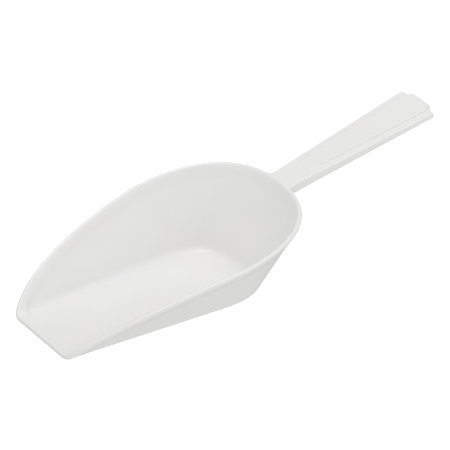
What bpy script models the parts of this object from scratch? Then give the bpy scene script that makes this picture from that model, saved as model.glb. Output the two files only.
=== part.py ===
"""Ice scoop: one moulding, modelled as the solid regions that it is made of.

Lengths are metres, +Z is up and +X runs from the scoop's lip to the end of its handle. The origin is at
the bottom centre of the whole scoop, on the plane that the flat floor rests on. The bowl is laid out from
the front of its lip, and the handle along its own tilted axis from the back of the rim.
"""

from math import cos, radians, sin, tan

import bmesh
import bpy
from mathutils import Vector
from mathutils.geometry import interpolate_bezier

# Whole moulding
OVERALL_LENGTH = 0.2655
WALL = 0.0020
GAP = 0.0003
MID_Z = WALL / 2

# Rim: centre line of the bead, left half, as control points and the handles between them
BEAD_RADIUS = 0.0016
LIP_RADIUS = 0.0014
LIP_DEPTH = 0.0044
LIP_CORNER = Vector((LIP_RADIUS, 0.0264, LIP_RADIUS))
RIM_WIDEST = Vector((0.1034, 0.0556, 0.0388))
RIM_BACK = Vector((0.1642, 0.0, 0.0486))
LIP_CORNER_HANDLE = Vector((0.0180, 0.0202, 0.0242))
WIDEST_HANDLE_TO_LIP = Vector((-0.0100, 0.0, -0.0016))
WIDEST_HANDLE_TO_BACK = Vector((0.0350, 0.0, 0.0056))
BACK_HANDLE = Vector((0.0, 0.0388, 0.0))

# Floor: the line where the middle surfaces of floor and wall would meet, left half
FLOOR_FRONT = LIP_DEPTH + GAP
FLOOR_LIP = Vector((FLOOR_FRONT, 0.0265, MID_Z))
FLOOR_TAPER_END = Vector((0.1035, 0.0319, MID_Z))
FLOOR_BACK = Vector((0.1357, 0.0, MID_Z))
TAPER_HANDLE = 0.0300
FLOOR_BACK_HANDLE = Vector((0.0, 0.0198, 0.0))
FLOOR_FILLET = 0.0078
FLOOR_CLEARANCE = 0.0009

# Handle, in its own axes: x along it from the back of the rim, z square to its top face
HANDLE_TILT = radians(11.9)
HALF_WIDTH_AT_ROOT = 0.0093
HALF_WIDTH_AT_END = 0.0160
SKIRT_AT_ROOT = 0.0057
SKIRT_AT_END = 0.0029
FLANGE_WIDTH = 0.0047
PLATE_RISE = 0.0009
STEP_START = 0.0230
STEP_RAMP = 0.0045
PLATE_OVERHANG = 0.0025
END_WALL_INSET = 0.0007
END_WALL_RETURN = 0.0017
CORNER_CUT_LENGTH = 0.0054
CORNER_CUT_WIDTH = 0.0028
ROOT_START = BEAD_RADIUS + GAP + 0.0002
ROOT_FLARE = 0.0015
ROOT_LEAN = 0.9
FLARE_LENGTH = 0.0050

# Fineness
FRONT_STEPS = 32
BACK_STEPS = 20
FILLET_STEPS = 5
EDGE_ROUND = 0.0004
LIP_ROUND = 0.0008
SHARP_ANGLE = radians(40)

PLATE_LENGTH = (OVERALL_LENGTH - RIM_BACK.x - SKIRT_AT_END * sin(HANDLE_TILT)) / cos(HANDLE_TILT)
FLANGE_LENGTH = PLATE_LENGTH - PLATE_OVERHANG


def clear_scene():
    for old in list(bpy.data.objects):
        bpy.data.objects.remove(old, do_unlink=True)


def plastic(name, color, roughness):
    material = bpy.data.materials.new(name)
    material.use_nodes = True
    shader = material.node_tree.nodes["Principled BSDF"]
    shader.inputs["Base Color"].default_value = (*color, 1.0)
    shader.inputs["Roughness"].default_value = roughness
    shader.inputs["Metallic"].default_value = 0.0
    return material


def place(name, data, parent, color=(0.90, 0.90, 0.88), roughness=0.30):
    """Link a named sub-part, with its own material, under the empty that carries it."""
    data.materials.append(plastic(name, color, roughness))
    part = bpy.data.objects.new(name, data)
    collection.objects.link(part)
    part.parent = parent
    return part


def empty(name, parent=None):
    guide = bpy.data.objects.new(name, None)
    guide.empty_display_size = 0.02
    collection.objects.link(guide)
    guide.parent = parent
    return guide


def add_round_edges(part, width):
    bevel = part.modifiers.new("rounded", "BEVEL")
    bevel.width = width
    bevel.segments = 2
    bevel.limit_method = "ANGLE"
    bevel.angle_limit = SHARP_ANGLE


def shell(name, rows, parent, mirrored=False, round_edges=0.0):
    """A grid through rows of points on the middle surface, thickened by the wall thickness."""
    width = len(rows[0])
    points = [point for row in rows for point in row]
    corners = [i * width + j for i in range(len(rows) - 1) for j in range(width - 1)]
    faces = [(k, k + 1, k + width + 1, k + width) for k in corners]
    mesh = bpy.data.meshes.new(name)
    mesh.from_pydata(points, [], faces)
    part = place(name, mesh, parent)
    if mirrored:
        mirror = part.modifiers.new("both_sides", "MIRROR")
        mirror.use_axis = (False, True, False)
        mirror.merge_threshold = 0.00005
    solid = part.modifiers.new("wall", "SOLIDIFY")
    solid.thickness = WALL
    solid.offset = 0.0
    solid.use_even_offset = True
    if round_edges:
        add_round_edges(part, round_edges)
    mesh.shade_smooth()
    mesh.set_sharp_from_angle(angle=SHARP_ANGLE)


def rim_half():
    """Bead centre line from the lip corner to the back, split at its widest point."""
    front = interpolate_bezier(
        LIP_CORNER, LIP_CORNER + LIP_CORNER_HANDLE,
        RIM_WIDEST + WIDEST_HANDLE_TO_LIP, RIM_WIDEST, FRONT_STEPS + 1)
    back = interpolate_bezier(
        RIM_WIDEST, RIM_WIDEST + WIDEST_HANDLE_TO_BACK,
        RIM_BACK + BACK_HANDLE, RIM_BACK, BACK_STEPS + 1)
    return front, back


def floor_half(front_rim):
    """Floor corner line, with a point across from each point of the rim."""
    run = RIM_WIDEST.x - LIP_CORNER.x
    front = [FLOOR_LIP.lerp(FLOOR_TAPER_END, (p.x - LIP_CORNER.x) / run) for p in front_rim]
    taper = (FLOOR_TAPER_END - FLOOR_LIP).normalized()
    back = interpolate_bezier(
        FLOOR_TAPER_END, FLOOR_TAPER_END + taper * TAPER_HANDLE,
        FLOOR_BACK + FLOOR_BACK_HANDLE, FLOOR_BACK, BACK_STEPS + 1)
    return front, back


def wall_section(corner, rim):
    """Middle line of the wall at one station: a fillet off the floor, then straight up to the bead."""
    slope = (rim - corner).normalized()
    slant = (rim - corner).length
    outward = Vector((slope.x, slope.y, 0.0)).normalized()
    inside_angle = slope.angle(-outward)
    tangent = min(FLOOR_FILLET / tan(inside_angle / 2), slant / 3)
    radius = tangent * tan(inside_angle / 2)
    turn = radians(180) - inside_angle
    reach = radius * tan(turn / 4) * 4 / 3
    start = corner - outward * tangent
    end = corner + slope * tangent
    fillet = interpolate_bezier(start, start + outward * reach, end - slope * reach, end, FILLET_STEPS + 1)
    return fillet + [rim - slope * (BEAD_RADIUS + GAP)]


def wall_sections():
    """Sections from just behind the lip to the middle of the back."""
    rim_front, rim_back = rim_half()
    floor_front, floor_back = floor_half(rim_front)
    corners = floor_front + floor_back[1:]
    rims = rim_front + rim_back[1:]
    return [wall_section(corner, rim) for corner, rim in zip(corners[1:], rims[1:])]


def make_bowl_wall(sections, bowl):
    shell("bowl_wall", sections, bowl, mirrored=True)


def make_bowl_floor(sections, bowl):
    """The flat floor inside the fillet, as an extruded outline."""
    edge = []
    for section in sections:
        outward = Vector((section[1].x - section[0].x, section[1].y - section[0].y, 0.0)).normalized()
        edge.append(section[0] - outward * FLOOR_CLEARANCE)
    left = [Vector((FLOOR_FRONT, edge[0].y, 0.0))] + edge[:-1]
    right = [Vector((p.x, -p.y, 0.0)) for p in reversed(left)]
    outline = left + [edge[-1]] + right
    curve = bpy.data.curves.new("bowl_floor", "CURVE")
    curve.dimensions = "2D"
    curve.fill_mode = "BOTH"
    curve.extrude = WALL / 2
    spline = curve.splines.new("POLY")
    spline.points.add(len(outline) - 1)
    for point, corner in zip(spline.points, outline):
        point.co = (corner.x, corner.y, 0.0, 1.0)
    spline.use_cyclic_u = True
    floor = place("bowl_floor", curve, bowl)
    floor.location.z = MID_Z


def tube(name, parent, points, radii):
    """A bevelled curve with filled caps through points given as (handle, point, handle)."""
    curve = bpy.data.curves.new(name, "CURVE")
    curve.dimensions = "3D"
    curve.bevel_depth = BEAD_RADIUS
    curve.bevel_resolution = 3
    curve.use_fill_caps = True
    curve.resolution_u = 16
    spline = curve.splines.new("BEZIER")
    spline.bezier_points.add(len(points) - 1)
    for knot, (handle_in, point, handle_out), radius in zip(spline.bezier_points, points, radii):
        knot.handle_left_type = "FREE"
        knot.handle_right_type = "FREE"
        knot.handle_left = handle_in
        knot.co = point
        knot.handle_right = handle_out
        knot.radius = radius / BEAD_RADIUS
    place(name, curve, parent)


def make_rim_bead(bowl):
    """Bead round the sides and the back, from one lip corner to the other, thinning towards the lip."""
    corner = (LIP_CORNER - LIP_CORNER_HANDLE, LIP_CORNER, LIP_CORNER + LIP_CORNER_HANDLE)
    widest = (RIM_WIDEST + WIDEST_HANDLE_TO_LIP, RIM_WIDEST, RIM_WIDEST + WIDEST_HANDLE_TO_BACK)
    back = (RIM_BACK + BACK_HANDLE, RIM_BACK, RIM_BACK - BACK_HANDLE)
    flip = Vector((1, -1, 1))
    right = [tuple(p * flip for p in reversed(knot)) for knot in (widest, corner)]
    radii = [LIP_RADIUS, BEAD_RADIUS, BEAD_RADIUS, BEAD_RADIUS, LIP_RADIUS]
    tube("rim_bead", bowl, [corner, widest, back] + right, radii)


def make_front_lip(bowl):
    """Low rounded bar across the front, between the ends of the bead."""
    mesh = bpy.data.meshes.new("front_lip")
    block = bmesh.new()
    bmesh.ops.create_cube(block, size=1.0)
    width = 2 * (LIP_CORNER.y - LIP_RADIUS - GAP)
    bmesh.ops.scale(block, vec=(LIP_DEPTH, width, 2 * LIP_RADIUS), verts=block.verts)
    block.to_mesh(mesh)
    block.free()
    lip = place("front_lip", mesh, bowl)
    lip.location = (LIP_DEPTH / 2, 0.0, LIP_RADIUS)
    add_round_edges(lip, LIP_ROUND)
    mesh.shade_smooth()
    mesh.set_sharp_from_angle(angle=SHARP_ANGLE)


def half_width(x):
    """Outer half width of the handle, which widens evenly towards its end."""
    return HALF_WIDTH_AT_ROOT + (HALF_WIDTH_AT_END - HALF_WIDTH_AT_ROOT) * x / FLANGE_LENGTH


def skirt_depth(x):
    return SKIRT_AT_ROOT + (SKIRT_AT_END - SKIRT_AT_ROOT) * x / FLANGE_LENGTH


def make_handle_root(handle):
    """Plain channel from the rim to where the steps begin, flared a little where it meets the rim."""
    stations = [
        (ROOT_START, ROOT_FLARE, ROOT_LEAN),
        (ROOT_START + FLARE_LENGTH / 2, ROOT_FLARE / 3, 0.0),
        (ROOT_START + FLARE_LENGTH, 0.0, 0.0),
        (STEP_START - GAP, 0.0, 0.0),
    ]
    rows = []
    for x, flare, lean in stations:
        side = half_width(x) - WALL / 2 + flare
        skirt = Vector((-lean, 0.0, -1.0)) * (skirt_depth(x) - MID_Z)
        shoulder = Vector((x, side, -MID_Z))
        rows.append([
            Vector((x, 0.0, -MID_Z)),
            Vector((x, side / 2, -MID_Z)),
            shoulder,
            shoulder + skirt / 2,
            shoulder + skirt,
        ])
    shell("handle_root", rows, handle, mirrored=True, round_edges=EDGE_ROUND)


def make_handle_plate(handle):
    """Raised centre plate: it ramps up from the root and has its two end corners cut off."""
    cut_start = PLATE_LENGTH - CORNER_CUT_LENGTH
    end_width = half_width(cut_start) - FLANGE_WIDTH
    stations = [
        (STEP_START, half_width(STEP_START) - FLANGE_WIDTH, 0.0),
        (STEP_START + STEP_RAMP, half_width(STEP_START + STEP_RAMP) - FLANGE_WIDTH, PLATE_RISE),
        (cut_start, end_width, PLATE_RISE),
        (PLATE_LENGTH, end_width - CORNER_CUT_WIDTH, PLATE_RISE),
    ]
    rows = [[Vector((x, side * k / 2, rise - MID_Z)) for k in range(3)] for x, side, rise in stations]
    shell("handle_plate", rows, handle, mirrored=True, round_edges=EDGE_ROUND)


def make_handle_flange(name, side, handle):
    """Step beside the plate with the skirt that hangs from its outer edge; side is +1 or -1."""
    rows = []
    for x in (STEP_START, FLANGE_LENGTH):
        outer = half_width(x) - WALL / 2
        inner = half_width(x) - FLANGE_WIDTH + GAP
        row = [
            Vector((x, side * inner, -MID_Z)),
            Vector((x, side * outer, -MID_Z)),
            Vector((x, side * outer, -skirt_depth(x))),
        ]
        rows.append(row if side > 0 else row[::-1])
    shell(name, rows, handle, round_edges=EDGE_ROUND)


def make_handle_end_wall(handle):
    """Low wall that closes the channel under the end of the plate and follows its cut corners."""
    top = PLATE_RISE - WALL - GAP
    corner = half_width(PLATE_LENGTH - CORNER_CUT_LENGTH) - FLANGE_WIDTH - CORNER_CUT_WIDTH
    x_end = PLATE_LENGTH - WALL / 2
    path = [
        (x_end, 0.0),
        (x_end, corner - END_WALL_INSET),
        (x_end - END_WALL_RETURN, corner + END_WALL_INSET),
    ]
    rows = [[Vector((x, y, z)) for z in (top, -SKIRT_AT_END)] for x, y in path]
    shell("handle_end_wall", rows, handle, mirrored=True)


clear_scene()
collection = bpy.data.collections.new("ice_scoop")
bpy.context.scene.collection.children.link(collection)

bowl_guide = empty("bowl_origin")
bowl_guide.location.x = -OVERALL_LENGTH / 2
handle_guide = empty("handle_axis", bowl_guide)
handle_guide.location = RIM_BACK + Vector((0.0, 0.0, BEAD_RADIUS))
handle_guide.rotation_euler.y = -HANDLE_TILT

wall_lines = wall_sections()
make_bowl_wall(wall_lines, bowl_guide)
make_bowl_floor(wall_lines, bowl_guide)
make_rim_bead(bowl_guide)
make_front_lip(bowl_guide)
make_handle_root(handle_guide)
make_handle_plate(handle_guide)
make_handle_flange("handle_flange_left", 1, handle_guide)
make_handle_flange("handle_flange_right", -1, handle_guide)
make_handle_end_wall(handle_guide)
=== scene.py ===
"""Ice scoop: the fine surface of one white plastic moulding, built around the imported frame.

Lengths are metres. +X runs from the lip to the end of the handle and +Z is up. The bowl is laid out from the
front of its lip, and the handle along its own tilted axis from the back of the rim. Each piece stands for one
region of the moulding. The pieces of the bowl are cut from one surface, so no joint shows between them.
"""

from math import cos, pi, radians, sin

import bmesh
import bpy
import numpy as np
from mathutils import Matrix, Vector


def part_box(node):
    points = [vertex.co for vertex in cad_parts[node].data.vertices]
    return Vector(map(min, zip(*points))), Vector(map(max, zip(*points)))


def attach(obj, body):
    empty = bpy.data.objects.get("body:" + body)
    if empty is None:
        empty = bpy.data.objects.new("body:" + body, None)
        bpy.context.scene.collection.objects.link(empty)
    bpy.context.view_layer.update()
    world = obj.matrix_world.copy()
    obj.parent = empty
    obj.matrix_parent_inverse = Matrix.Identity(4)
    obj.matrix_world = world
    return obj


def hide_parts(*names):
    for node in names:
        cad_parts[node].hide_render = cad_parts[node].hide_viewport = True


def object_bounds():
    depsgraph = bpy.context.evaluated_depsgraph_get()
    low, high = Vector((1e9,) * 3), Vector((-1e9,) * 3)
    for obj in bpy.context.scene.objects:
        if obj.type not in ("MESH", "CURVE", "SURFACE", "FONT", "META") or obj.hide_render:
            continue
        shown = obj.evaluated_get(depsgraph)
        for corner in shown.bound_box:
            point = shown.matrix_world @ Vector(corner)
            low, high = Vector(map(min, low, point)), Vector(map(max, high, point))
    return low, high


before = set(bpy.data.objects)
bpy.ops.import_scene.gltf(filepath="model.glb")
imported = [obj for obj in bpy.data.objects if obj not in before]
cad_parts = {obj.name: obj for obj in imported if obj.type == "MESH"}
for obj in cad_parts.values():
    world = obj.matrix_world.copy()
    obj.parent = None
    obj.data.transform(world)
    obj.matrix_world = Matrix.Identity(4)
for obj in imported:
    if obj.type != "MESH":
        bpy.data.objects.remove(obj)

CAD_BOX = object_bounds()
LIP_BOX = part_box("front_lip")
FRONT = np.array((LIP_BOX[0][0], 0.0, 0.0))
OVERALL_LENGTH = CAD_BOX[1][0] - CAD_BOX[0][0]
UP = np.array((0.0, 0.0, 1.0))

# Wall, and the bead on its edge: round outside, and thinning into the wall over its taper. The lip is thicker
# and keeps its thickness over a crest; both fade away over a share of the side
WALL = 0.0020
HALF_WALL = WALL / 2
BEAD_RADIUS = 0.0016
BEAD_TAPER = 0.0090
BEAD_NECK = 0.0008
LIP_RADIUS = 0.00165
LIP_CREST = 0.0038
LIP_FADE = 0.5

# Bead centre line, left half: the ends of its curves and the handles between them
LIP_CORNER = np.array((LIP_RADIUS, 0.0264, LIP_RADIUS))
RIM_WIDEST = np.array((0.1034, 0.05554, 0.0388))
RIM_BACK = np.array((0.1642, 0.0, 0.0486))
LIP_CORNER_HANDLE = np.array((0.0168, 0.0186, 0.0226))
WIDEST_HANDLE_TO_LIP = np.array((-0.0100, 0.0, -0.0016))
WIDEST_HANDLE_TO_BACK = np.array((0.0350, 0.0, 0.0056))
BACK_HANDLE = np.array((0.0, 0.0388, 0.0))

# Rounded corner of the lip: its reach along the lip, its share of the side curve, how full it is, and the
# small step along the side curve that gives the direction in which it ends
CORNER_REACH = 0.0036
CORNER_SHARE = 0.033
CORNER_FULLNESS = 0.55
LITTLE_AHEAD = 0.001

# Floor line, left half: where the middle surfaces of floor and wall would meet if there were no fillet
FLOOR_FRONT_X = 0.0094
FLOOR_STRAIGHT_Y = 0.0212
FLOOR_LIP = np.array((0.0047, 0.0265, HALF_WALL))
FLOOR_TAPER_END = np.array((0.1035, 0.0319, HALF_WALL))
FLOOR_BACK = np.array((0.1357, 0.0, HALF_WALL))
TAPER_HANDLE = 0.0300
FLOOR_BACK_HANDLE = np.array((0.0, 0.0198, 0.0))
FLOOR_TURN_SHARE = 0.11
FLOOR_TURN_FULLNESS = 0.42
FLOOR_FILLET = 0.0078
LARGEST_FILLET_SHARE = 1 / 3

# Handle, in its own axes: x along it from the back of the rim, y to the left, z square to its top
HANDLE_TILT = radians(11.9)
HALF_WIDTH_AT_ROOT = 0.0093
HALF_WIDTH_AT_END = 0.0160
SKIRT_AT_ROOT = 0.0057
SKIRT_AT_END = 0.0029
SKIRT_DRAFT = 0.0006
END_CORNER = 0.0016

# Root of the handle: its fillets, and the curve, sag and lean of the rim's back that it follows
ROOT_FILLET = 0.0040
ROOT_FILLET_START = 0.0003
ROOT_TUCK = 0.0003
RIM_BACK_CURVE = 0.0875
RIM_BACK_SAG = 0.5400
WALL_LEAN = 0.93
LEAN_LENGTH = 0.0100

# Raised plate, and the step on each side of it. The root runs on a little under the plate's start
PLATE_RISE = 0.0009
STEP_START = 0.0140
STEP_RAMP = 0.0160
ROOT_END = STEP_START + 0.0032
FLANGE_WIDTH = 0.0047
PLATE_OVERHANG = 0.0025
CORNER_CUT_LENGTH = 0.0054
CORNER_CUT_WIDTH = 0.0028
STEP_DRAFT = 0.0003
STEP_UNDER_PLATE = 0.0010
PLATE_SINK = 0.0001
PLATE_ROOT = 0.0008

# Radii of edges
PLATE_EDGE = 0.0005
PLATE_TIP_EDGE = 0.0007
OUTER_EDGE = 0.0007
INNER_EDGE = 0.0008
FOOT_EDGE = 0.0005
END_WALL_EDGE = 0.0004

# Fineness: steps round the rim, up the wall, round an edge and along the handle. The wall's steps crowd
# towards the bead, and the flange's last steps follow its rounded end corner
LIP_STEPS = 10
CORNER_STEPS = 16
TURN_STEPS = 24
SIDE_STEPS = 90
BACK_STEPS = 70
FILLET_STEPS = 14
WALL_STEPS = 30
WALL_CROWDING = 1.6
NECK_STEPS = 3
CAP_STEPS = 10
FLOOR_STEPS = 16
ARC_STEPS = 6
TOP_STEPS = 8
ROOT_STEPS = 24
RAMP_STEPS = 24
PLATE_STEPS = 8
CUT_STEPS = 8
FLANGE_STEPS = 9
END_STEPS = 8
END_ARC = pi / 2 * 0.93

# Mesh: how far the line that supports an arc is from it, how near two points are when they are one, and the
# angle from which an edge is a real one
SUPPORT = 0.00008
SAME_POINT = 0.000001
SHARP_ANGLE = radians(35)

# Where the bowl is cut: steps of the wall that go with the bead, and stations past the corner with the lip
WALL_STEPS_IN_BEAD = 2
STATIONS_PAST_CORNER = 4

PLATE_LENGTH = (OVERALL_LENGTH - RIM_BACK[0] - SKIRT_AT_END * sin(HANDLE_TILT)) / cos(HANDLE_TILT)
FLANGE_LENGTH = PLATE_LENGTH - PLATE_OVERHANG
CUT_START = PLATE_LENGTH - CORNER_CUT_LENGTH
HANDLE_ORIGIN = FRONT + RIM_BACK + UP * BEAD_RADIUS
HANDLE_X = np.array((cos(HANDLE_TILT), 0.0, sin(HANDLE_TILT)))
HANDLE_Z = np.array((-sin(HANDLE_TILT), 0.0, cos(HANDLE_TILT)))

# Plastic: two close whites that drift into each other, a range of roughness, and two bumps. A noise has a
# scale and a detail
PLASTIC_IOR = 1.49
WARM_WHITE = (0.868, 0.861, 0.853, 1.0)
NEUTRAL_WHITE = (0.880, 0.879, 0.878, 1.0)
CLOUD_NOISE = (14.0, 2.0)
SATIN_NOISE = (90.0, 4.0)
SATIN_ROUGHNESS = (0.20, 0.27)
GRAIN_NOISE = (900.0, 3.0)
GRAIN_STRENGTH = 0.06
GRAIN_DEPTH = 0.0004
RIPPLE_NOISE = (60.0, 1.0)
RIPPLE_STRENGTH = 0.10
RIPPLE_DEPTH = 0.0010
NOISE_LOW = 0.3
NOISE_HIGH = 0.7

# Camera, floor and backdrop, and light. The tent's strengths are those of its sides along x, y and z
CAMERA_TURN = radians(34.14)
CAMERA_DROP = radians(31.58)
CAMERA_DISTANCE = 2.767
CAMERA_TARGET = FRONT + np.array((0.1364, 0.0148, 0.0222))
CAMERA_LENS = 382.4
CAMERA_SENSOR = 36.0
CAMERA_FAR = 20.0
FLOOR_SIZE = 6.0
FLOOR_DROP = 0.0002
BACKDROP_RADIUS = 4.5
BACKDROP_TURNS = 48
BACKDROP_RINGS = 24
SWEEP_GREY = 0.95
SWEEP_ROUGHNESS = 0.9
SWEEP_GLOW = 0.60
TENT_PLUS = (0.58, 0.26, 0.89)
TENT_MINUS = (0.74, 0.90, 0.73)
SOFTBOX_PLACE = np.array((0.1, 0.35, 1.5))
SOFTBOX_TARGET = np.array((0.0, 0.0, 0.03))
SOFTBOX_SIZE = 0.9
SOFTBOX_POWER = 4.8


# --- small helpers ---------------------------------------------------------------------------------------

def unit(vectors):
    return vectors / np.linalg.norm(vectors, axis=-1, keepdims=True)


def smooth(x):
    """Rises from 0 to 1 as x does, and is level at both ends."""
    x = np.clip(x, 0.0, 1.0)
    return x * x * (3 - 2 * x)


def bezier(a, b, c, d, t):
    t = np.asarray(t)[:, None]
    return a * (1 - t) ** 3 + 3 * b * t * (1 - t) ** 2 + 3 * c * t ** 2 * (1 - t) + d * t ** 3


def around(half, mirror=True):
    """The whole closed loop from its left half, which runs from the lip's middle to the back's.

    Points are mirrored; plain values are only repeated.
    """
    other = half[-2:0:-1]
    if mirror:
        other = other * np.array((1, -1, 1))
    return np.concatenate([half, other])


def finish_piece(piece, node=None):
    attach(piece, "root")
    if node:
        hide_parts(node)


def mesh_piece(name, points, faces, material, node=None):
    """A closed mesh from points and faces, shaded smooth except across real edges."""
    mesh = bpy.data.meshes.new(name)
    mesh.from_pydata([tuple(p) for p in points], [], faces)
    shape = bmesh.new()
    shape.from_mesh(mesh)
    bmesh.ops.remove_doubles(shape, verts=shape.verts, dist=SAME_POINT)
    bmesh.ops.recalc_face_normals(shape, faces=shape.faces)
    shape.to_mesh(mesh)
    shape.free()
    mesh.shade_smooth()
    mesh.set_sharp_from_angle(angle=SHARP_ANGLE)
    mesh.materials.append(material)
    piece = bpy.data.objects.new(name, mesh)
    bpy.context.scene.collection.objects.link(piece)
    finish_piece(piece, node)


def loft(rings, shell=False):
    """Points and faces of the surface through equal rings, with a cap at each end.

    A shell's ring runs along one face of the plastic and back along the other, so its cap is a strip of
    quads.
    """
    count, size = len(rings), len(rings[0])
    faces = []
    for i in range(count - 1):
        for j in range(size):
            k = (j + 1) % size
            faces.append((i * size + j, i * size + k, (i + 1) * size + k, (i + 1) * size + j))
    for first in (0, (count - 1) * size):
        if shell:
            for j in range(size // 2 - 1):
                faces.append((first + j, first + j + 1, first + size - 2 - j, first + size - 1 - j))
        else:
            faces.append(tuple(range(first, first + size)))
    return np.concatenate(rings), faces


def rounded(corners):
    """Points of an outline given as (a, b, radius) corners, with an arc at each corner that has a radius."""
    points = []
    for number, (a, b, radius) in enumerate(corners):
        here = np.array((a, b))
        if radius == 0:
            points.append(here)
            continue
        before = unit(np.array(corners[number - 1][:2]) - here)
        after = unit(np.array(corners[(number + 1) % len(corners)][:2]) - here)
        opening = np.arccos(np.clip(np.dot(before, after), -1, 1))
        centre = here + unit(before + after) * radius / np.sin(opening / 2)
        touch = radius / np.tan(opening / 2)
        first = here + before * touch - centre
        last = here + after * touch - centre
        turn = np.arctan2(first[0] * last[1] - first[1] * last[0], np.dot(first, last))
        points.append(here + before * (touch + SUPPORT))
        for k in range(ARC_STEPS + 1):
            c, s = cos(turn * k / ARC_STEPS), sin(turn * k / ARC_STEPS)
            points.append(centre + np.array((first[0] * c - first[1] * s, first[0] * s + first[1] * c)))
        points.append(here + after * (touch + SUPPORT))
    return points


# --- bowl ------------------------------------------------------------------------------------------------

def side_rim(t):
    near_lip = LIP_CORNER + LIP_CORNER_HANDLE
    return bezier(LIP_CORNER, near_lip, RIM_WIDEST + WIDEST_HANDLE_TO_LIP, RIM_WIDEST, t)


def rim_half():
    """Bead centre line: straight lip, small corner, side, back."""
    lip_end = LIP_CORNER - np.array((0.0, CORNER_REACH, 0.0))
    lip = np.linspace(lip_end * np.array((1, 0, 1)), lip_end, LIP_STEPS + 1)
    turn_end, ahead = side_rim([CORNER_SHARE, CORNER_SHARE + LITTLE_AHEAD])
    pull = CORNER_REACH * CORNER_FULLNESS
    corner = bezier(lip_end, lip_end + np.array((0.0, pull, 0.0)),
                    turn_end - unit(ahead - turn_end) * pull, turn_end, np.linspace(0, 1, CORNER_STEPS + 1))
    turn = side_rim(np.linspace(CORNER_SHARE, FLOOR_TURN_SHARE, TURN_STEPS + 1))
    side = side_rim(np.linspace(FLOOR_TURN_SHARE, 1, SIDE_STEPS + 1))
    back = bezier(RIM_WIDEST, RIM_WIDEST + WIDEST_HANDLE_TO_BACK, RIM_BACK + BACK_HANDLE, RIM_BACK,
                  np.linspace(0, 1, BACK_STEPS + 1))
    return np.concatenate([lip, corner[1:], turn[1:], side[1:], back[1:]])


def floor_half(rim):
    """Floor line, with one point across from each point of the rim: straight front, corner, taper, back."""
    taper = FLOOR_TAPER_END - FLOOR_LIP
    run = RIM_WIDEST[0] - LIP_CORNER[0]
    turned = LIP_STEPS + CORNER_STEPS + TURN_STEPS
    side_end = turned + SIDE_STEPS
    front = rim[:LIP_STEPS + 1] * np.array((0.0, FLOOR_STRAIGHT_Y / (LIP_CORNER[1] - CORNER_REACH), 0.0))
    front += np.array((FLOOR_FRONT_X, 0.0, HALF_WALL))
    side = FLOOR_LIP + taper * ((rim[turned:side_end + 1, :1] - LIP_CORNER[0]) / run)
    steps = np.linalg.norm(np.diff(rim[LIP_STEPS:turned + 1], axis=0), axis=1)
    along = np.concatenate([[0.0], np.cumsum(steps)]) / steps.sum()
    reach = np.linalg.norm(side[0] - front[-1]) * FLOOR_TURN_FULLNESS
    corner = bezier(front[-1], front[-1] + np.array((0.0, reach, 0.0)),
                    side[0] - unit(taper) * reach, side[0], along)
    back = bezier(FLOOR_TAPER_END, FLOOR_TAPER_END + unit(taper) * TAPER_HANDLE,
                  FLOOR_BACK + FLOOR_BACK_HANDLE, FLOOR_BACK, np.linspace(0, 1, BACK_STEPS + 1))
    return np.concatenate([front, corner[1:], side[1:], back[1:]])


def half_thickness(d, radius, crest, taper):
    """Half thickness at a distance d from the bead's centre: round edge, crest, long taper into the wall."""
    bead = np.sqrt(np.maximum(radius ** 2 - d ** 2, 0.0))
    wall = HALF_WALL + (radius - HALF_WALL) * (1 - smooth((d - crest) / (taper - crest)))
    return np.where(d < 0, bead, wall)


def middle_surface(rim, floor, into, radius):
    """The surface half way through the plastic: a column of points at each station round the bowl.

    A column climbs from the flat floor through the fillet, the wall and the bead's neck to the edge. Also
    returned are each point's distance from the bead's centre, which is that of the fillet's upper end for
    every point of the fillet, and the length of the slope above the fillet.
    """
    rise = unit(rim - floor)
    slant = np.linalg.norm(rim - floor, axis=1, keepdims=True)
    outward = unit((rim - floor) * np.array((1, 1, 0)))
    climb = np.arcsin(rise[:, 2:])
    tangent = np.minimum(FLOOR_FILLET * np.tan(climb / 2), slant * LARGEST_FILLET_SHARE)
    bend = tangent / np.tan(climb / 2)
    start = floor - outward * tangent
    columns = []
    distances = []
    for k in range(FILLET_STEPS + 1):
        angle = climb * k / FILLET_STEPS
        columns.append(start + outward * bend * np.sin(angle) + UP * bend * (1 - np.cos(angle)))
        distances.append(slant - tangent)
    foot = columns[-1]
    head = rim + into * BEAD_NECK
    pull = np.linalg.norm(head - foot, axis=1, keepdims=True) / 3
    for k in range(1, WALL_STEPS + 1):
        climbed = np.full(len(rim), 1 - (1 - k / WALL_STEPS) ** WALL_CROWDING)
        point = bezier(foot, foot + rise * pull, head + into * pull, head, climbed)
        columns.append(point)
        distances.append(np.linalg.norm(point - rim, axis=1, keepdims=True))
    for k in range(1, NECK_STEPS + 1):
        distance = np.full_like(slant, BEAD_NECK * (1 - k / NECK_STEPS))
        columns.append(rim + into * distance)
        distances.append(distance)
    for k in range(1, CAP_STEPS + 1):
        distance = -radius * sin(pi / 2 * k / CAP_STEPS)
        columns.append(rim + into * distance)
        distances.append(distance)
    return np.stack(columns, axis=1), np.concatenate(distances, axis=1), slant - tangent


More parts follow.
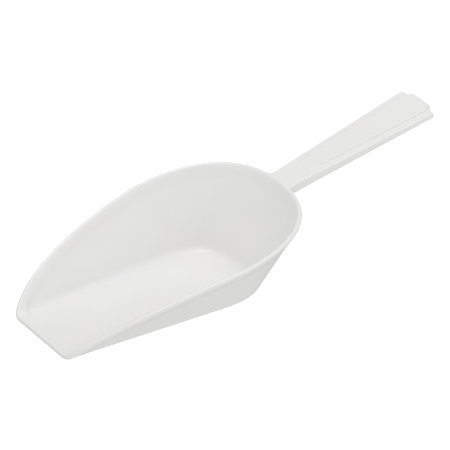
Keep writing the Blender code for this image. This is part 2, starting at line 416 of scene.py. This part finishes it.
def bowl_surfaces():
    """Inner and outer surface of the wall and bead as grids: stations round the bowl by steps up the wall."""
    rim_left = rim_half()
    rim = around(rim_left)
    floor = around(floor_half(rim_left))
    fade = CORNER_STEPS + TURN_STEPS + SIDE_STEPS * LIP_FADE
    away = around(smooth((np.arange(len(rim_left)) - LIP_STEPS) / fade), False)[:, None]
    radius = LIP_RADIUS + (BEAD_RADIUS - LIP_RADIUS) * away
    along = unit(np.roll(rim, -1, 0) - np.roll(rim, 1, 0))
    into = floor - rim
    into = unit(into - along * np.sum(into * along, axis=1, keepdims=True))

    middle, distance, wall_length = middle_surface(rim, floor, into, radius)
    half = half_thickness(distance, radius, LIP_CREST * (1 - away), np.minimum(BEAD_TAPER, wall_length))
    half[:, -1] = 0.0

    up_the_wall = np.gradient(middle, axis=1)
    lengthways = np.roll(middle, -1, 0) - np.roll(middle, 1, 0)
    normal = unit(np.cross(lengthways, up_the_wall))
    neck_start = FILLET_STEPS + WALL_STEPS
    normal[:, neck_start:] = unit(np.cross(into, along))[:, None]
    normal[:, 0] = UP
    inner = middle + normal * half[:, :, None]
    outer = middle - normal * half[:, :, None]
    outer[:, :, 2] = np.maximum(outer[:, :, 2], 0.0)
    return inner + FRONT, outer + FRONT


def band(inner, outer, first, last, stations):
    """Closed rings of the shell between two steps up the wall, at the given stations."""
    rings = []
    for i in stations:
        i %= len(inner)
        rings.append(np.concatenate([inner[i, first:last + 1], outer[i, first:last + 1][::-1]]))
    return rings


def make_bowl(material):
    inner, outer = bowl_surfaces()
    total = len(inner)
    tip = inner.shape[1] - 1
    bead_foot = FILLET_STEPS + WALL_STEPS - WALL_STEPS_IN_BEAD
    lip_end = LIP_STEPS + CORNER_STEPS + STATIONS_PAST_CORNER
    rest = range(lip_end, total - lip_end + 1)
    lip = range(-lip_end, lip_end + 1)
    mesh_piece("side_wall", *loft(band(inner, outer, 0, bead_foot, rest), True), material, "bowl_wall")
    mesh_piece("rolled_rim_bead", *loft(band(inner, outer, bead_foot, tip, rest), True), material, "rim_bead")
    mesh_piece("rounded_front_lip", *loft(band(inner, outer, 0, tip, lip), True), material, "front_lip")

    sideways = np.linspace(1, -1, FLOOR_STEPS + 1)
    across = np.stack([np.ones_like(sideways), sideways, np.ones_like(sideways)], axis=1)
    rings = []
    for i in range(LIP_STEPS, total // 2):
        rings.append(np.concatenate([inner[i, 0] * across, outer[i, 0] * across[::-1]]))
    mesh_piece("flat_floor", *loft(rings, True), material, "bowl_floor")


# --- handle ----------------------------------------------------------------------------------------------

def on_handle(x, y, z):
    return HANDLE_ORIGIN + HANDLE_X * x + np.array((0.0, y, 0.0)) + HANDLE_Z * z


def half_width(x):
    return HALF_WIDTH_AT_ROOT + (HALF_WIDTH_AT_END - HALF_WIDTH_AT_ROOT) * x / FLANGE_LENGTH


def skirt_depth(x):
    return SKIRT_AT_ROOT + (SKIRT_AT_END - SKIRT_AT_ROOT) * x / FLANGE_LENGTH


def both_sides(half):
    """A closed outline from its left half, which runs from the top middle to the bottom middle."""
    mirrored = [np.array((-p[0], p[1])) for p in reversed(half) if p[0] > 0]
    return list(half) + mirrored


def across_channel(outside, inside):
    """A whole channel section: over its outer face from right to left, then back along its inner face."""
    faces = []
    for corners in (outside, inside):
        half = rounded(corners)
        top = [half[0] + (half[1] - half[0]) * k / TOP_STEPS for k in range(TOP_STEPS)] + half[1:]
        faces.append([p * np.array((-1, 1)) for p in reversed(top)] + top[1:])
    return faces[0] + faces[1][::-1]


def root_ring(x):
    """Channel section of the plain root, bent round the rim and the wall that it grows out of."""
    near = max(0.0, 1 - x / LEAN_LENGTH)
    offset = min(ROOT_FILLET, max(0.0, ROOT_FILLET_START + ROOT_FILLET - x))
    w = half_width(x) + ROOT_FILLET - np.sqrt(ROOT_FILLET ** 2 - offset ** 2)
    s = skirt_depth(x)
    foot = w + SKIRT_DRAFT
    outside = [(0, 0, 0), (w, 0, OUTER_EDGE), (foot, -s, FOOT_EDGE), (foot - HALF_WALL, -s, 0)]
    inside = [(0, -WALL, 0), (w - WALL, -WALL, INNER_EDGE), (foot - WALL, -s, FOOT_EDGE),
              (foot - HALF_WALL, -s, 0)]
    ring = []
    for y, z in across_channel(outside, inside):
        back = y * y / (2 * RIM_BACK_CURVE) + WALL_LEAN * max(0.0, -z - BEAD_RADIUS)
        drop = y * y / (2 * RIM_BACK_SAG)
        ring.append(on_handle(x - back * near, y, z - drop * near))
    return np.array(ring)


def plate_half(x):
    """Half width of the raised plate; its end corners are cut off."""
    past = max(0.0, x - CUT_START)
    return half_width(min(x, CUT_START)) - FLANGE_WIDTH - CORNER_CUT_WIDTH * past / CORNER_CUT_LENGTH


def plate_ring(x):
    """Section of the plate. It rises out of the root's top, and its sides stand in the steps."""
    p = plate_half(x)
    rise = (PLATE_RISE + PLATE_SINK) * float(smooth((x - STEP_START) / STEP_RAMP)) - PLATE_SINK
    draft = STEP_DRAFT * (1 - float(smooth((x - CUT_START) / (FLANGE_LENGTH - CUT_START))))
    foot = p + draft * (rise + PLATE_ROOT) / (PLATE_RISE + PLATE_ROOT)
    inside = p - STEP_UNDER_PLATE + PLATE_SINK
    under = max(rise, PLATE_SINK / 2) - WALL
    corners = [(0, rise, 0), (p, rise, PLATE_EDGE), (foot, -PLATE_ROOT, 0), (inside, -PLATE_ROOT, 0),
               (inside, under, 0), (0, under, 0)]
    return np.array([on_handle(x, y, z) for y, z in both_sides(rounded(corners))])


def flange_ring(x, side):
    """Step and skirt section. Near the handle's end the outer corner is rounded off in plan."""
    past = max(0.0, x - (FLANGE_LENGTH - END_CORNER))
    w = half_width(x) - (END_CORNER - np.sqrt(max(0.0, END_CORNER ** 2 - past ** 2)))
    s = skirt_depth(x)
    inner = plate_half(x) - STEP_UNDER_PLATE
    foot = w + SKIRT_DRAFT
    corners = [(inner, 0, 0), (w, 0, OUTER_EDGE), (foot, -s, FOOT_EDGE), (foot - WALL, -s, FOOT_EDGE),
               (w - WALL, -WALL, INNER_EDGE), (inner, -WALL, 0)]
    return np.array([on_handle(x, side * y, z) for y, z in rounded(corners)])


def make_handle(material):
    root_x = list(np.linspace(-ROOT_TUCK, LEAN_LENGTH, ROOT_STEPS + 1)) + [ROOT_END]
    mesh_piece("channel_root", *loft([root_ring(x) for x in root_x], True), material, "handle_root")
    ramp_end = STEP_START + STEP_RAMP
    plate_x = list(np.linspace(STEP_START, ramp_end, RAMP_STEPS + 1))
    plate_x += list(np.linspace(ramp_end, CUT_START, PLATE_STEPS + 1)[1:])
    plate_x += list(np.linspace(CUT_START, FLANGE_LENGTH, CUT_STEPS + 1)[1:])
    mesh_piece("raised_centre_plate", *loft([plate_ring(x) for x in plate_x]), material, "handle_plate")
    flange_x = list(np.linspace(ROOT_END, FLANGE_LENGTH - END_CORNER, FLANGE_STEPS + 1)[:-1])
    flange_x += list(FLANGE_LENGTH - END_CORNER * (1 - np.sin(np.linspace(0, END_ARC, END_STEPS + 1))))
    flange_x.append(FLANGE_LENGTH)
    for name, side, node in (("left_step_and_skirt", 1, "handle_flange_left"),
                             ("right_step_and_skirt", -1, "handle_flange_right")):
        mesh_piece(name, *loft([flange_ring(x, side) for x in flange_x]), material, node)
    make_handle_end(material)


def make_handle_end(material):
    """The plate's end with its cut corners, and the low wall under it that closes the channel."""
    p = plate_half(FLANGE_LENGTH)
    tip = plate_half(PLATE_LENGTH)
    outline = np.array(rounded([(FLANGE_LENGTH, p, 0), (PLATE_LENGTH, tip, PLATE_TIP_EDGE),
                                (PLATE_LENGTH, -tip, PLATE_TIP_EDGE), (FLANGE_LENGTH, -p, 0)]))
    ahead = np.gradient(outline, axis=0)
    normals = unit(np.stack([-ahead[:, 1], ahead[:, 0]], axis=1))
    normals *= np.sign(normals[0, 1])
    normals[0] = (0.0, 1.0)
    normals[-1] = (0.0, -1.0)
    under = PLATE_RISE - WALL
    rings = [np.array([on_handle(x, y, under) for x, y in outline])]
    for k in range(ARC_STEPS + 1):
        angle = pi / 2 * k / ARC_STEPS
        ring = outline - normals * PLATE_EDGE * (1 - cos(angle))
        rings.append(np.array([on_handle(x, y, PLATE_RISE - PLATE_EDGE * (1 - sin(angle))) for x, y in ring]))
    inner_top = outline - normals * (PLATE_EDGE + SUPPORT)
    rings.append(np.array([on_handle(x, y, PLATE_RISE) for x, y in inner_top]))
    mesh_piece("cut_corner_plate_end", *loft(rings), material)

    bottom = -SKIRT_AT_END
    profile = rounded([(0, under, 0), (0, bottom, END_WALL_EDGE), (WALL, bottom, END_WALL_EDGE),
                       (WALL, under, 0)])
    rings = []
    for (x, y), (nx, ny) in zip(outline, normals):
        rings.append(np.array([on_handle(x - nx * inset, y - ny * inset, z) for inset, z in profile]))
    mesh_piece("channel_end_wall", *loft(rings), material, "handle_end_wall")


# --- material --------------------------------------------------------------------------------------------

def white_plastic():
    """Semi-gloss white polypropylene: faint flow marks, satin variation, fine grain and a slight ripple."""
    material = bpy.data.materials.new("white_polypropylene")
    material.use_nodes = True
    nodes = material.node_tree.nodes
    links = material.node_tree.links
    shader = nodes["Principled BSDF"]
    shader.inputs["IOR"].default_value = PLASTIC_IOR
    place = nodes.new("ShaderNodeTexCoord")

    def noise(scale, detail):
        node = nodes.new("ShaderNodeTexNoise")
        node.inputs["Scale"].default_value = scale
        node.inputs["Detail"].default_value = detail
        links.new(place.outputs["Object"], node.inputs["Vector"])
        return node.outputs["Fac"]

    def spread(source, low, high):
        node = nodes.new("ShaderNodeMapRange")
        node.inputs["From Min"].default_value = NOISE_LOW
        node.inputs["From Max"].default_value = NOISE_HIGH
        node.inputs["To Min"].default_value = low
        node.inputs["To Max"].default_value = high
        links.new(source, node.inputs["Value"])
        return node.outputs["Result"]

    def bump(height, strength, depth):
        node = nodes.new("ShaderNodeBump")
        node.inputs["Strength"].default_value = strength
        node.inputs["Distance"].default_value = depth
        links.new(height, node.inputs["Height"])
        return node

    cloud = nodes.new("ShaderNodeMix")
    cloud.data_type = "RGBA"
    cloud.inputs["A"].default_value = WARM_WHITE
    cloud.inputs["B"].default_value = NEUTRAL_WHITE
    links.new(spread(noise(*CLOUD_NOISE), 0.0, 1.0), cloud.inputs["Factor"])
    links.new(cloud.outputs["Result"], shader.inputs["Base Color"])
    links.new(spread(noise(*SATIN_NOISE), *SATIN_ROUGHNESS), shader.inputs["Roughness"])
    grain = bump(noise(*GRAIN_NOISE), GRAIN_STRENGTH, GRAIN_DEPTH)
    ripple = bump(noise(*RIPPLE_NOISE), RIPPLE_STRENGTH, RIPPLE_DEPTH)
    links.new(grain.outputs["Normal"], ripple.inputs["Normal"])
    links.new(ripple.outputs["Normal"], shader.inputs["Normal"])
    return material


# --- setting ---------------------------------------------------------------------------------------------

def make_camera():
    level = cos(CAMERA_DROP)
    ahead = np.array((sin(CAMERA_TURN) * level, cos(CAMERA_TURN) * level, -sin(CAMERA_DROP)))
    data = bpy.data.cameras.new("camera")
    data.lens = CAMERA_LENS
    data.sensor_width = CAMERA_SENSOR
    data.clip_end = CAMERA_FAR
    camera = bpy.data.objects.new("camera", data)
    bpy.context.scene.collection.objects.link(camera)
    camera.location = CAMERA_TARGET - ahead * CAMERA_DISTANCE
    camera.rotation_euler = (pi / 2 - CAMERA_DROP, 0.0, -CAMERA_TURN)
    bpy.context.scene.camera = camera


def pale_sweep():
    """Matt white that glows a little, so that the floor and the backdrop look the same from every side."""
    material = bpy.data.materials.new("pale_sweep")
    material.use_nodes = True
    shader = material.node_tree.nodes["Principled BSDF"]
    shader.inputs["Base Color"].default_value = (SWEEP_GREY, SWEEP_GREY, SWEEP_GREY, 1.0)
    shader.inputs["Roughness"].default_value = SWEEP_ROUGHNESS
    shader.inputs["Specular IOR Level"].default_value = 0.0
    shader.inputs["Emission Color"].default_value = (1.0, 1.0, 1.0, 1.0)
    shader.inputs["Emission Strength"].default_value = SWEEP_GLOW
    return material


def stage_piece(name, shape, material, height):
    """A piece of the setting. It neither shades nor tints the scoop, because the tent lights through it."""
    mesh = bpy.data.meshes.new(name)
    shape.to_mesh(mesh)
    shape.free()
    mesh.materials.append(material)
    piece = bpy.data.objects.new(name, mesh)
    piece.location.z = height
    bpy.context.scene.collection.objects.link(piece)
    piece.visible_diffuse = False
    piece.visible_glossy = False
    piece.visible_shadow = False


def make_ground():
    """A flat floor, inside a round backdrop that is wider than the camera's distance."""
    material = pale_sweep()
    floor = bmesh.new()
    bmesh.ops.create_grid(floor, x_segments=1, y_segments=1, size=FLOOR_SIZE / 2)
    stage_piece("ground", floor, material, -FLOOR_DROP)
    backdrop = bmesh.new()
    bmesh.ops.create_uvsphere(backdrop, u_segments=BACKDROP_TURNS, v_segments=BACKDROP_RINGS,
                              radius=BACKDROP_RADIUS)
    stage_piece("backdrop", backdrop, material, 0.0)


def make_tent():
    """A white light tent: each of its six sides has its own strength, and they blend into each other."""
    world = bpy.data.worlds.new("light_tent")
    world.use_nodes = True
    nodes = world.node_tree.nodes
    links = world.node_tree.links
    direction = nodes.new("ShaderNodeTexCoord").outputs["Generated"]
    sides = []
    for choice, strengths in (("MAXIMUM", TENT_PLUS), ("MINIMUM", TENT_MINUS)):
        half = nodes.new("ShaderNodeVectorMath")
        half.operation = choice
        half.inputs[1].default_value = (0.0, 0.0, 0.0)
        links.new(direction, half.inputs[0])
        square = nodes.new("ShaderNodeVectorMath")
        square.operation = "MULTIPLY"
        links.new(half.outputs["Vector"], square.inputs[0])
        links.new(half.outputs["Vector"], square.inputs[1])
        side = nodes.new("ShaderNodeVectorMath")
        side.operation = "DOT_PRODUCT"
        side.inputs[1].default_value = strengths
        links.new(square.outputs["Vector"], side.inputs[0])
        sides.append(side.outputs["Value"])
    total = nodes.new("ShaderNodeMath")
    total.operation = "ADD"
    links.new(sides[0], total.inputs[0])
    links.new(sides[1], total.inputs[1])
    links.new(total.outputs["Value"], nodes["Background"].inputs["Strength"])
    nodes["Background"].inputs["Color"].default_value = (1.0, 1.0, 1.0, 1.0)
    bpy.context.scene.world = world


def make_softbox():
    """One round softbox high over the scoop, aimed at it."""
    data = bpy.data.lights.new("overhead_softbox", "AREA")
    data.shape = "DISK"
    data.size = SOFTBOX_SIZE
    data.energy = SOFTBOX_POWER
    lamp = bpy.data.objects.new("overhead_softbox", data)
    bpy.context.scene.collection.objects.link(lamp)
    lamp.location = SOFTBOX_PLACE
    aim = unit(SOFTBOX_TARGET - SOFTBOX_PLACE)
    lamp.rotation_euler = (np.arccos(-aim[2]), 0.0, np.arctan2(aim[0], -aim[1]))


plastic = white_plastic()
make_bowl(plastic)
make_handle(plastic)
make_ground()
make_tent()
make_softbox()
make_camera()
bpy.context.scene.view_settings.view_transform = "Standard"
